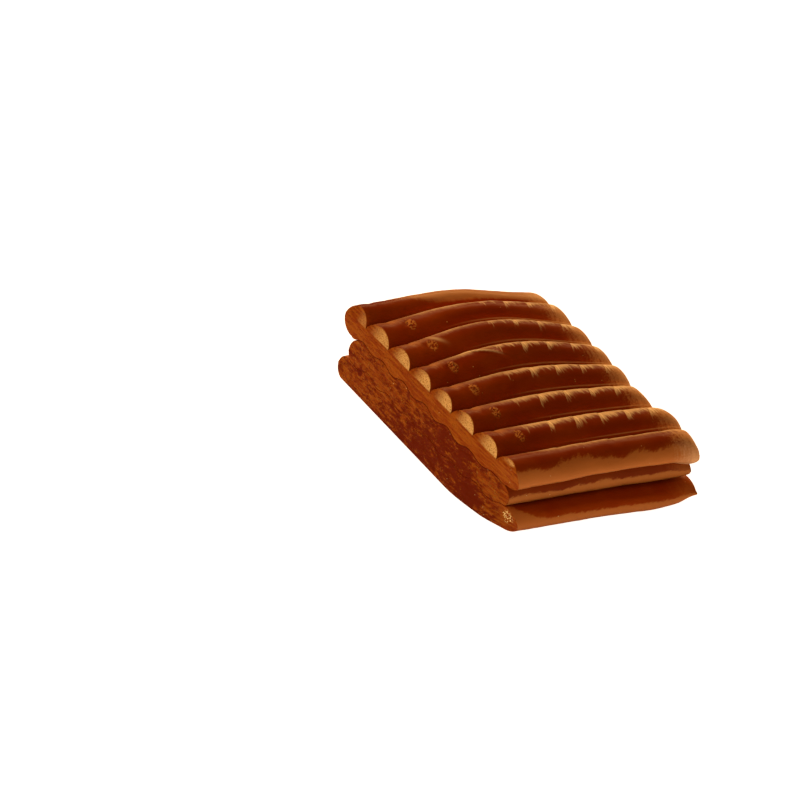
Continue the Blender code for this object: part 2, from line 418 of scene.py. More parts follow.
def belt_outline(layer, edge, widths, steps):
    """The outline's columns, from the front edge to the back one.

    They are y, the upper and lower height, the same two where the caramel is smeared shut, the rope's
    number, the share of its width, 1 on a free outer side, and how far that side is below its crest, as
    a share of the half height. Each rope is an arc: y follows the sine of an angle and the height its
    cosine.
    """
    columns = []
    last = len(widths) - 1
    for number, width in enumerate(widths):
        front = math.pi / 2 if number == 0 else FUSED_ANGLE
        back = math.pi / 2 if number == last else FUSED_ANGLE
        angle = np.linspace(-front, back, steps + 1)[0 if number == 0 else 1:]
        limit = np.where(angle < 0, front, back)
        share = (1 + np.sin(angle) / np.sin(limit)) / 2
        y = edge + width * share
        squashed = layer == TOP and number in (0, last)
        lower_half = SQUASHED_HALF_HEIGHT if squashed else ROPE_HALF_HEIGHT
        free = (number == 0) & (angle < 0) | (number == last) & (angle > 0)
        upper = MIDDLE_HEIGHTS[layer] + ROPE_HALF_HEIGHT * np.cos(angle)
        lower = MIDDLE_HEIGHTS[layer] - lower_half * np.cos(angle)
        side = np.where(free, 1 - np.cos(angle), 0.0)
        plain = pressed(layer, y, upper, lower, free, SEAM_GAP, SEAM_POCKET)
        smeared = pressed(layer, y, upper, lower, free, SMEAR_GAP, 0.0)
        columns.append(np.stack([y, *plain, *smeared, np.full_like(y, number), share, free, side]))
        edge += width
    return np.concatenate(columns, axis=1)


def wander(along, y, z):
    """Rise or fall of the seams near the front and back: bells in height, eased along the ropes."""
    lift = CORNER_LIFT * ease(*LIFT_ALONG, along) * np.maximum(0.0, 1 - z / FULL_HEIGHT)
    upper = UPPER_SEAM_ARCH * bump(*UPPER_ARCH_AT, along)
    upper = upper - UPPER_SEAM_DROP * ease(*UPPER_DROP_ALONG, along)
    lower = -LOWER_SEAM_DROP * (1 + ease(*LOWER_DROP_ALONG, along))
    seams = upper * bump(SEAM_HEIGHTS[1], UPPER_SEAM_REACH, z)
    seams = seams + lower * bump(SEAM_HEIGHTS[0], LOWER_SEAM_REACH, z)
    corner = ease(*BACK_SEAMS_Y, y) * ease(*BACK_DROP_ALONG, along)
    back = BACK_SEAM_DROP * corner * np.sin(np.pi * np.minimum(1.0, z / FULL_HEIGHT))
    return ease(*FRONT_SEAMS_Y, y) * (lift + seams) - back


def place(along, y, z):
    """Points of the straight stack carried between the slanted ends, swollen, fanned and centred."""
    left = left_end(y, z)
    x = left + along * (right_end(y, z) - left)
    height = z * (1 + swelling(along, y) / FULL_HEIGHT) + wander(along, y, z)
    across = y * (1 + FAN * (0.5 - along))
    return np.stack(
        np.broadcast_arrays(x + FOOTPRINT_SHIFT[0], across + FOOTPRINT_SHIFT[1], height), axis=-1
    )


def thinned(layer, along, upper, lower):
    """Upper and lower heights drawn together at the right end: eased first, then along a round nose."""
    share = RIGHT_ROUNDING * ease(*ROUNDING_ALONG, along) / (2 * ROPE_HALF_HEIGHT)
    nose = np.clip((along - 1 + NOSE_REACH) / NOSE_REACH, 0, 1)
    share = share + NOSE_SHARE * (1.0 if layer == TOP else LOWER_NOSE) * (1 - np.sqrt(1 - nose**2))
    return upper - share * (upper - lower), lower + share * (upper - lower)


def crimps(along, x, y, share, depth):
    """Dents of a toothed roller, evenly spaced along the ropes: steep on the left, then fading."""
    s = (x - FIRST_CRIMP - CRIMP_LEAN * y) % CRIMP_STEP
    wall = ease(0.0, CRIMP_WALL, s) * np.clip(1 - s / CRIMP_TAIL, 0, 1) ** CRIMP_TAIL_POWER
    stretch = ease(*CRIMP_X, x) * ease(*CRIMP_END_ALONG, along)
    ropes = ease(*CRIMP_BACK_Y, y) * ease(*CRIMP_FRONT_Y, y)
    return -depth * stretch * ropes * wall * ease(*CRIMP_FLANK, share)


def dimples(along, rope, share, x, y, depth):
    """Small rough hollows a little way in from the left cut, one on most ropes."""
    grain = sum(height * mottle(x, y, cell, seed) for height, cell, seed in DIMPLE_GRAIN)
    rough = DIMPLE_ROUGHNESS * grain - DIMPLE_SINK
    total = np.zeros(np.broadcast(along, share).shape)
    for number, (centre, strength) in DIMPLES.items():
        spot = bump(centre, DIMPLE_REACH[0], along) * bump(DIMPLE_SHARE, DIMPLE_REACH[1], share)
        total += strength * spot * (rope == number) * rough * depth
    return total


def fold(along, rope, share):
    """A fold that leaves a groove near the back and runs out over the crest of the rope before it."""
    path = FOLD_START[1] - FOLD_FALL * np.clip(along - FOLD_START[0], 0, 1) ** FOLD_BEND
    d = share - path
    ridge = np.where(d > 0, bump(0, FOLD_FLANKS[0], d), bump(0, FOLD_FLANKS[1], d))
    stretch = ease(*FOLD_RISE_ALONG, along) * ease(*FOLD_END_ALONG, along)
    return (rope == FOLD_ROPE) * FOLD_HEIGHT * ridge * stretch


def pinch(along, rope, share):
    """A shallow dent across each rope just behind its sheared facet."""
    return (rope > 0) * -PINCH_DEPTH * bump(*PINCH_AT, along) * ease(*PINCH_SHARE, share)


def relief(along, points, rope, share, ribbed, shape):
    """How far the fine surface stands above or below the belt's plain form, in millimetres."""
    x, y, z = np.moveaxis(points, -1, 0)
    total = sum(
        height * mottle(x * stretch, y * across + z, cell, seed)
        for height, stretch, across, cell, seed in SKIN_WAVES
    )
    if ribbed.any():
        marks = (
            crimps(along, x, y, share, shape.crimp_depth / MM)
            + dimples(along, rope, share, x, y, shape.dimple_depth / MM)
            + fold(along, rope, share)
            + pinch(along, rope, share)
        )
        total = total + ribbed * marks
    return total * ease(0.0, RELIEF_EDGE, along) * ease(1.0, 1 - RELIEF_EDGE, along)


def normals_of(grid):
    """Unit normals of a grid that is closed in its second direction: the cross product of its steps."""
    down = np.gradient(grid, axis=0)
    around = np.roll(grid, -1, axis=1) - np.roll(grid, 1, axis=1)
    normal = np.cross(down, around)
    length = np.linalg.norm(normal, axis=-1, keepdims=True)
    return normal / np.maximum(length, 1e-9)


def curled(layer, along, points):
    """The bottom belt's front right corner curled up and blunted, and its front edge a little full."""
    if layer > 0:
        return points
    x, y, z = np.moveaxis(points, -1, 0)
    lift = CORNER_CURL * ease(*CURL_ALONG, along) * ease(*CURL_Y, y) * ease(*CURL_Z, z)
    blunt = CORNER_PUSH + CORNER_BLUNT * (z - BLUNT_Z) - CORNER_TUCK * ease(*TUCK_Z, z)
    blunt = blunt * ease(*BLUNT_ALONG, along) * ease(*BLUNT_Y, y)
    belly = FRONT_BELLY * bump(*BELLY_AT, along) * ease(*BELLY_Y, y)
    return np.stack([x + blunt, y - belly, z + lift], axis=-1)


def cut_relief(layer, y, z, roughness):
    """How far a cut face stands out along X: blade-cut on the top belt, torn and pitted below."""
    torn = CLEAN_CUT if layer == TOP else 1.0
    blade = BLADE_WAVE * mottle(y * 0.5, z * 4 + y, 0.5, BLADE_SEED)
    coarse = mottle(y + 5 * layer, z, 0.55, TORN_SEED + layer)
    coarse = coarse + 0.6 * mottle(y, z + 7 * layer, 0.23, TORN_FINE_SEED)
    pits = np.clip(mottle(y + 3.3, z + 2.1 * layer, 0.8, PIT_SEED) - PIT_LEVEL, 0, 1)
    return blade + torn * roughness * (coarse - PIT_DEPTH * pits)


def sheared(y, z, share, part):
    """How far a point of the left cut is on a pale facet: above the grooves, and away from the gaps."""
    start = shear_start(y) + FACET_NARROWING * ease(*FACET_NARROW_Y, y)
    facet = ease(0.0, FACET_EDGE, z - start) * ease(*FACET_SHARE, share)
    facet = facet * np.where(y > BACK_ROPE_Y, BACK_FACET * ease(*BACK_FACET_SHARE, share), 1.0)
    facet = facet * np.where(y < FRONT_ROPE_Y, ease(*FRONT_FACET_PART, part), 1.0)
    return facet * (1 - FACET_DULLING * ease(*FACET_DULL_Y, y))


def marks_of(shape, *marks):
    """The marks of a grid of points, in the order of MARKS, with one row for each point."""
    return np.stack([np.broadcast_to(mark, shape) for mark in marks], axis=-1).reshape(-1, len(MARKS))


def belt_rings(layer, along, outline, shape):
    """The rings of a belt, their marks, and the heights of its lower and upper side.

    A ring runs over the top from the front to the back and home underneath. The marks are 1 on the
    pale facets, the share of the rope's width on the ribbed top, the share of the way along, and the
    way down a free side, from 0 on its crest to 2 underneath.
    """
    y, upper, lower, smeared_upper, smeared_lower, rope, share, free, side = outline
    home = slice(-2, 0, -1)
    right_smear = [1 - reach for reach in SMEAR_ALONG]
    smear = np.maximum(ease(*SMEAR_ALONG, along), ease(*right_smear, along))
    upper = upper + smear * (smeared_upper - upper)
    lower = lower + smear * (smeared_lower - lower)
    high, low = thinned(layer, along, upper, lower)
    ring = np.concatenate([place(along, y, high), place(along, y, low)[:, home]], axis=1)
    rope = np.concatenate([rope, rope[home]])
    share = np.concatenate([share, share[home]])
    ribbed = np.concatenate([np.ones_like(y), np.zeros(len(y) - 2)]) * (layer == TOP)
    touching = np.concatenate([(layer < TOP) * (1 - free), (layer > 0) * (1 - free[home])])
    lift = relief(along, ring, rope, share, ribbed, shape) * (1 - HELD_SMOOTH * touching)
    ring = curled(layer, along, ring + normals_of(ring) * lift[..., None])
    ring[..., 2] = np.maximum(ring[..., 2], 0.0)
    down = np.concatenate([side, 2 - side[home]])
    return ring, marks_of(ring.shape[:2], 0.0, share * ribbed, along, down), low, high


def end_cap(layer, along, outward, y, share, low, high, rows, roughness):
    """Points of the rows that close an end, from the underside to the top, and their facet marks."""
    bend = np.minimum(GROOVE_HEIGHT, low + BEND_PART * (high - low))
    below = int(rows * ROWS_BELOW_BEND)
    rise = np.linspace(0, 1, below + 1)[:, None]
    crown = np.linspace(0, 1, rows - below + 1)[1:, None]
    z = np.concatenate([low + rise * (bend - low), bend + crown * (high - bend)])[1:-1, 1:-1]
    y, share, low, high = (column[1:-1] for column in (y, share, low, high))
    part = (z - low) / np.maximum(high - low, 1e-6)
    rim = np.clip(4 * part * (1 - part), 0, 1)
    face = curled(layer, along, place(along, y, z))
    facet = np.zeros_like(z)
    if outward > 0:
        thickness = np.minimum(1.0, (high - low) / (2 * ROPE_HALF_HEIGHT))
        face[..., 0] += RIGHT_DOME * thickness * rim
    else:
        facet = sheared(y, z, share, part)
    fade = np.minimum(1.0, 3 * rim) * ease(0.0, THIN_CUT, high - low) * (1 - FACET_SMOOTHING * facet)
    face[..., 0] += outward * cut_relief(layer, y, z, roughness) * fade
    return face, facet


def cap_faces(ladder, front_point, back_point, outward):
    """Squares between a cap's rows, and triangles that close them to the front and back points.

    Their corners run the other way round on the left cut, where outward is -1.
    """
    rows = len(ladder) - 1
    cells = np.stack([ladder[:-1, :-1], ladder[:-1, 1:], ladder[1:, 1:], ladder[1:, :-1]], axis=-1)
    front = np.stack([ladder[:-1, 0], ladder[1:, 0], np.full(rows, front_point)], axis=-1)
    back = np.stack([ladder[1:, -1], ladder[:-1, -1], np.full(rows, back_point)], axis=-1)
    return cells.reshape(-1, 4)[:, ::outward], front[:, ::outward], back[:, ::outward]


def belt_mesh(layer, edge, widths, shape):
    """Points, faces, the cut mask of the faces and the marks of the points of a closed belt.

    The outline is carried along the ropes at t - 0.35 sin(2 pi t) / 2 pi, closer together near the
    ends. Each end is closed by rows of points.
    """
    detail = 1.0
    counts = (STEPS_PER_ROPE, STATIONS, CUT_ROWS)
    steps, stations, rows = (max(FEWEST_STEPS, int(n * detail)) for n in counts)
    outline = belt_outline(layer, edge, widths, steps)
    last = outline.shape[1] - 1
    t = np.linspace(0, 1, stations)
    along = (t - END_CROWDING * np.sin(2 * np.pi * t) / (2 * np.pi))[:, None]
    ring, ring_marks, low, high = belt_rings(layer, along, outline, shape)
    index = np.arange(ring.size // 3).reshape(ring.shape[:2])
    after = np.roll(index, -1, axis=1)
    points, marks = [ring.reshape(-1, 3)], [ring_marks]
    quads = [np.stack([index[:-1], index[1:], after[1:], after[:-1]], axis=-1).reshape(-1, 4)]
    triangles = []
    total = index.size
    for end, outward in ((0, -1), (stations - 1, 1)):
        at = float(along[end, 0])
        roughness = shape.cut_roughness / MM
        heights = low[end], high[end]
        face, facet = end_cap(layer, at, outward, outline[0], outline[6], *heights, rows, roughness)
        inner = total + np.arange(facet.size).reshape(facet.shape)
        total += facet.size
        ladder = np.concatenate([index[end, :last:-1][None], inner, index[end, 1:last][None]])
        cells, front, back = cap_faces(ladder, index[end, 0], index[end, last], outward)
        points.append(face.reshape(-1, 3))
        marks.append(marks_of(facet.shape, facet, 0.0, at, 0.0))
        quads.append(cells)
        triangles += [front, back]
    capped = sum(len(part) for part in quads[1:] + triangles)
    cut = np.concatenate([np.zeros(len(quads[0])), np.ones(capped)])
    faces = np.concatenate(quads).tolist() + np.concatenate(triangles).tolist()
    return np.concatenate(points), faces, cut, np.concatenate(marks)


def add_mesh(name, points, faces, cut, marks, material):
    """A mesh object from points in millimetres, with the marks kept as attributes."""
    mesh = bpy.data.meshes.new(name)
    mesh.from_pydata((points * MM).tolist(), [], faces)
    mesh.update()
    mask = mesh.attributes.new("cut_face", "FLOAT", "FACE")
    mask.data.foreach_set("value", cut.astype(np.float32))
    for column, mark in enumerate(MARKS):
        mask = mesh.attributes.new(mark, "FLOAT", "POINT")
        mask.data.foreach_set("value", np.ascontiguousarray(marks[:, column], dtype=np.float32))
    mesh.shade_smooth()
    mesh.set_sharp_from_angle(angle=SHARP_ANGLE)
    mesh.materials.append(material)
    piece = bpy.data.objects.new(name, mesh)
    bpy.context.scene.collection.objects.link(piece)
    return piece


class Value:
    """A number on a socket. Sums on it add Math nodes."""

    def __init__(self, nodes, socket):
        self.nodes = nodes
        self.socket = socket

    def __add__(self, other):
        return self.nodes.math("ADD", self, other)

    __radd__ = __add__

    def __sub__(self, other):
        return self.nodes.math("SUBTRACT", self, other)

    def __rsub__(self, other):
        return self.nodes.math("SUBTRACT", other, self)

    def __mul__(self, other):
        return self.nodes.math("MULTIPLY", self, other)

    __rmul__ = __mul__

    def __truediv__(self, other):
        return self.nodes.math("DIVIDE", self, other)

    def __pow__(self, other):
        return self.nodes.math("POWER", self, other)


class Nodes:
    """The node tree of a material or a world, and the one way nodes are added to it."""

    def __init__(self, owner):
        owner.use_nodes = True
        self.tree = owner.node_tree
        self.tree.nodes.clear()

    def add(self, kind, settings=None, inputs=None, output=0):
        """Adds a node, sets it, then fills its sockets with values or links, and gives one output."""
        node = self.tree.nodes.new(kind)
        for name, value in (settings or {}).items():
            setattr(node, name, value)
        for key, value in (inputs or {}).items():
            socket = node.inputs[key]
            if isinstance(value, Value):
                self.tree.links.new(value.socket, socket)
            else:
                socket.default_value = value
        return Value(self, node.outputs[output]) if node.outputs else None

    def math(self, operation, *values):
        return self.add("ShaderNodeMath", {"operation": operation}, dict(enumerate(values)))

    def highest(self, value, *others):
        """The greatest of several values."""
        for other in others:
            value = self.math("MAXIMUM", value, other)
        return value

    def between(self, value, low, high):
        """0 at low, 1 at high, eased between."""
        inputs = {"Value": value, "From Min": low, "From Max": high}
        return self.add("ShaderNodeMapRange", {"interpolation_type": "SMOOTHSTEP"}, inputs)

    def hill(self, value, middle, reach):
        """1 in the middle, falling off as e^-(d / reach)^2."""
        d = (value - middle) / reach
        return self.math("EXPONENT", d * d * -1.0)

    def mix(self, share, first, second, blend="MIX"):
        """A colour between two colours."""
        settings = {"data_type": "RGBA", "blend_type": blend}
        return self.add("ShaderNodeMix", settings, {0: share, 6: first, 7: second}, output=2)

    def darken(self, share, colour, tint):
        """A colour multiplied by a tint as far as the share says."""
        return self.mix(share, colour, tint, "MULTIPLY")

    def noise(self, where, scale, detail, roughness=0.5):
        inputs = {"Vector": where, "Scale": scale, "Detail": detail, "Roughness": roughness}
        return self.add("ShaderNodeTexNoise", {"normalize": True}, inputs)


class CaramelNodes(Nodes):
    """The nodes of a caramel, with places in millimetres, the marks of the mesh, and the noises.

    Clouds run through the skin, feathery streaks along the ropes, brushed ones down the sides and
    blade streaks along the cuts. Patches are torn, and fine noise and grain break up the edges.
    """

    def __init__(self, material):
        super().__init__(material)
        place = self.add("ShaderNodeTexCoord", output="Object")
        scale = (1 / MM, 1 / MM, 1 / MM)
        self.mm = self.add("ShaderNodeMapping", inputs={"Vector": place, "Scale": scale})
        axes = self.add("ShaderNodeSeparateXYZ", inputs={"Vector": self.mm})
        self.x, self.y, self.z = (Value(self, axis) for axis in axes.socket.node.outputs)
        self.cut, self.facet, self.share, self.along, self.side = (
            self.add("ShaderNodeAttribute", {"attribute_name": mark}, output="Fac")
            for mark in ("cut_face", *MARKS)
        )
        self.clouds = self.noise(self.mm, 0.35, 3)
        self.fine = self.noise(self.mm, 6.0, 3)
        self.grain = self.noise(self.mm, 9.0, 3, 0.6)
        self.patches = self.noise(self.grained(CUT_TURN, (1.0, 0.8, 1.7)), 1.1, 8, 0.80)
        self.blade = self.noise(self.grained(CUT_TURN, (1.0, 0.5, 4.5)), 1.0, 4, 0.65)
        self.feather = self.noise(self.grained(FEATHER_TURN, (5.0, 0.7, 0.7)), 1.0, 3, 0.6)
        self.brush = self.noise(self.grained(BRUSH_TURN, (0.8, 1.0, 4.5)), 1.0, 4, 0.65)
        self.on_ribs = self.between(self.share, *RIB_MASK)

    def grained(self, turn, density):
        """Millimetres in turned axes, with a density along each, for noise that runs in streaks."""
        turn = tuple(math.radians(angle) for angle in turn)
        scale = tuple(1 / d for d in density)
        inputs = {"Vector": self.mm, "Rotation": turn, "Scale": scale}
        return self.add("ShaderNodeMapping", {"vector_type": "TEXTURE"}, inputs)

    def scattered(self, density):
        """Distance from the nearest of some scattered points."""
        inputs = {"Vector": self.mm, "Scale": density}
        return self.add("ShaderNodeTexVoronoi", {"feature": "F1"}, inputs, output="Distance")

    def stray(self, noise, reach):
        """A noise brought to between minus and plus half the reach."""
        return reach * (noise - 0.5)

    def strip(self, front, back):
        """1 on the ropes between two places across them."""
        entry = self.between(self.y, front - STRIP_EDGE, front + STRIP_EDGE)
        return entry * self.between(self.y, back + STRIP_EDGE, back - STRIP_EDGE)

    def spot(self, y, z, reach_y, reach_z):
        """1 at a place on the left cut, falling off around it."""
        place = self.hill(self.y, y, reach_y) * self.hill(self.z, z, reach_z)
        return place * (1 - self.along) * self.cut


def opaque(colour):
    """A colour with full alpha."""
    return (*colour, 1.0)


def roller_press(nodes):
    """Millimetres past the last crimp, and 1 where the toothed roller pressed the ropes."""
    start = nodes.x - CRIMP_LEAN * nodes.y - FIRST_CRIMP + nodes.stray(nodes.clouds, CRIMP_STRAY)
    step = nodes.math("FRACT", start / CRIMP_STEP) * CRIMP_STEP
    inner = nodes.between(nodes.y, *PRESSED_BACK_Y) * nodes.between(nodes.y, *PRESSED_FRONT_Y)
    return step, nodes.between(nodes.x, *PRESSED_X) * inner


def flank_highlight_band(nodes, pressed, fall):
    """The painted highlight: a pale feathery band that starts on the back flank of a rope and widens
    behind a crimp.
    """
    limit = BAND_START - 0.02 * pressed - 0.32 * fall
    limit = limit - nodes.stray(nodes.feather, 0.2 + 0.55 * pressed)
    back = nodes.between(nodes.y, *BAND_BACK_Y) * nodes.between(nodes.along, *BAND_BACK_ALONG)
    limit = limit - 0.70 * back
    limit = limit - 0.12 * nodes.hill(nodes.x, *BAND_BULGE_X_AT) * nodes.strip(*BAND_BULGE_Y)
    band = nodes.between(nodes.share - limit, *BAND_EDGE)
    return band * nodes.on_ribs * nodes.between(nodes.side, *BAND_SIDE)


def groove_highlight_line(nodes, fall):
    """The pale line along the back edge of a rope, wider at the back of the belt: partly a mark, partly a
    painted highlight.
    """
    far = 0.12 * nodes.between(nodes.y, *LINE_BACK_Y) * nodes.between(nodes.along, *LINE_BACK_ALONG)
    edge = nodes.share + far + 0.08 * fall + nodes.stray(nodes.feather, 0.14)
    return nodes.between(edge, *LINE_SHARE)


def crimp_tick(nodes, step, pressed):
    """The slanted pale tick at each crimp, wider towards the groove."""
    width = 0.045 + 0.15 * nodes.between(nodes.share, *TICK_WIDENING)
    path = step - 0.10 - TICK_LEAN * (0.97 - nodes.share) + nodes.stray(nodes.feather, 0.25)
    return nodes.hill(path / width, 0.0, 1.0) * nodes.between(nodes.share, *TICK_SHARE) * pressed


def fold_crease(nodes):
    """The pale crease along the fold, which has the same path as in the mesh."""
    run = nodes.math("MAXIMUM", nodes.along - FOLD_START[0], 0.0)
    distance = nodes.share - FOLD_START[1] + FOLD_FALL * run**FOLD_BEND
    crease = nodes.hill(distance, 0.0, CREASE_REACH) * nodes.hill(nodes.along, *CREASE_AT)
    return crease * nodes.between(nodes.along, *CREASE_END) * nodes.strip(*FOLD_ROPE_Y)


def short_streak(nodes):
    """A slanted pale streak near the left end of one rope."""
    distance = nodes.share - STREAK_START[1] + STREAK_LEAN * (nodes.x - STREAK_START[0])
    streak = nodes.hill(distance, 0.0, STREAK_REACH) * nodes.hill(nodes.x, *STREAK_X_AT)
    return streak * nodes.strip(*STREAK_ROPE_Y)


def roller_scuff_and_highlight(nodes, inner_ropes, worn_and_lit):
    """How scuffed the ribs are, with painted highlights on the back flanks and rims, and the painted
    highlight of the rearmost rope, which is rubbed and not scuffed.
    """
    step, pressed = roller_press(nodes)
    fall = nodes.math("EXPONENT", step * -CRIMP_FADE) * pressed
    near = BAND_NEAR + (1 - BAND_NEAR) * nodes.between(nodes.along, *BAND_NEAR_ALONG)
    back_rope = nodes.between(nodes.y, *BACK_ROPE_EDGE)
    band = flank_highlight_band(nodes, pressed, fall) * near
    back_rope_highlight = band * back_rope
    line = 0.95 * groove_highlight_line(nodes, fall) * (1 - back_rope) * near
    scuff = nodes.highest(0.62 * band - 0.47 * back_rope_highlight, line, crimp_tick(nodes, step, pressed))
    ledge = nodes.hill(nodes.share, *LEDGE_AT) * nodes.between(nodes.along, *LEDGE_ALONG) * inner_ropes
    scuff = scuff + 0.26 * worn_and_lit + 0.7 * fold_crease(nodes) + 0.3 * ledge
    scuff = scuff + 0.45 * short_streak(nodes)
    return nodes.math("MINIMUM", scuff, 1.0), back_rope_highlight


def dimple_speckle(nodes, inner_ropes):
    """Pale speckles in the rough dimples."""
    spot = nodes.hill(nodes.along, *SPECKLE_ALONG_AT) * nodes.hill(nodes.share, *SPECKLE_SHARE_AT)
    return nodes.between(spot * inner_ropes, 0.2, 0.5) * nodes.between(nodes.fine, 0.44, 0.53)


def pinch_painted_light(nodes, inner_ropes):
    """Painted light across each rope on the dent behind its facet, with a ragged edge."""
    reach = nodes.between(nodes.share + nodes.stray(nodes.feather, 0.5), *PINCH_LIGHT_SHARE)
    return nodes.hill(nodes.along, *PINCH_LIGHT_AT) * reach * inner_ropes


def end_wear_and_highlight(nodes):
    """How pale the skin is towards the right end: partly wear and wrinkles, partly a painted highlight
    where the end curves away.
    """
    edge = nodes.along + nodes.stray(nodes.feather, 0.14) + nodes.stray(nodes.fine, 0.12)
    return nodes.between(edge, *WORN_AND_LIT_ALONG)


def behind(nodes):
    """1 on the flank of the back side."""
    return nodes.between(nodes.y, *BACK_FLANK_Y) * nodes.between(nodes.side, *BACK_FLANK_SIDE)


def painted_light_sides(nodes, finish):
    """Painted light from below on an outer side: from a ragged edge some way below its crest, and less
    behind.
    """
    tail = nodes.side + nodes.stray(nodes.brush, 0.35) + nodes.stray(nodes.clouds, 0.6)
    tail = tail + nodes.stray(nodes.fine, 0.2)
    if finish.ribbed:
        tail = tail + 0.20 * nodes.hill(nodes.along, *TOP_SIDE_LIGHT_AT)
    else:
        tail = tail + finish.grown * nodes.hill(nodes.along, *CUT_SIDE_LIGHT_AT)
    side_light = nodes.between(tail, finish.rub + SIDE_LIGHT_EDGE[0], finish.rub + SIDE_LIGHT_EDGE[1])
    side_light = side_light * nodes.between(nodes.side, *SIDE_LIGHT_FROM_CREST)
    return finish.pale * side_light * (1 - BACK_FLANK_SHADING * behind(nodes))


def shadowed(nodes):
    """Painted shade: 1 underneath, near the table, and on the flank of the back side."""
    low = nodes.between(nodes.z, *NEAR_TABLE_Z)
    return nodes.highest(nodes.between(nodes.side, *UNDERSIDE), low, behind(nodes))


def clean_skin(nodes, look, shade):
    """The unmarked skin: two colours in clouds, multiplied by the belt's shade, which is painted shade on
    the middle belt under the top belt.
    """
    deep, warm = (
        opaque(shade * part for part in colour) for colour in (look.deep_colour, look.warm_colour)
    )
    return nodes.mix(nodes.between(nodes.clouds, *CLOUD_EDGE), deep, warm)


def skin_with_painted_light_and_shade(nodes, look, skin, rubbed):
    """Skin with its rubbed places and painted light, darkened by painted shade underneath, near the table
    and on the back flank.
    """
    skin = nodes.mix(rubbed, skin, opaque(look.rub_and_light_colour))
    return nodes.darken(shadowed(nodes), skin, SHADOW_TINT)


def torn_patches(nodes):
    """The noise of the torn patches, lower and so darker in the gloom, and their pale flecks."""
    gloom = SLANTED_GLOOM * nodes.hill(nodes.y + nodes.z, *SLANTED_GLOOM_AT)
    for depth, y, z, reach_y, reach_z in GLOOM:
        gloom = gloom + depth * nodes.hill(nodes.y, y, reach_y) * nodes.hill(nodes.z, z, reach_z)
    patches = nodes.patches - gloom
    return patches, nodes.between(nodes.fine + nodes.stray(patches, 0.5), *FLECK_EDGE)


def torn_face(nodes, look, streaked, patches, flecks):
    """A cut face of a lower belt: dark patches and flecks, except at its front edge."""
    torn = nodes.mix(nodes.between(patches, *PATCH_EDGE), opaque(look.cut_dark), streaked)
    torn = nodes.mix(0.6 * flecks, torn, opaque(look.fleck_colour))
    inside = nodes.between(nodes.y + nodes.stray(nodes.patches, 0.6), *TORN_FROM_Y)
    return nodes.mix(inside, streaked, torn)


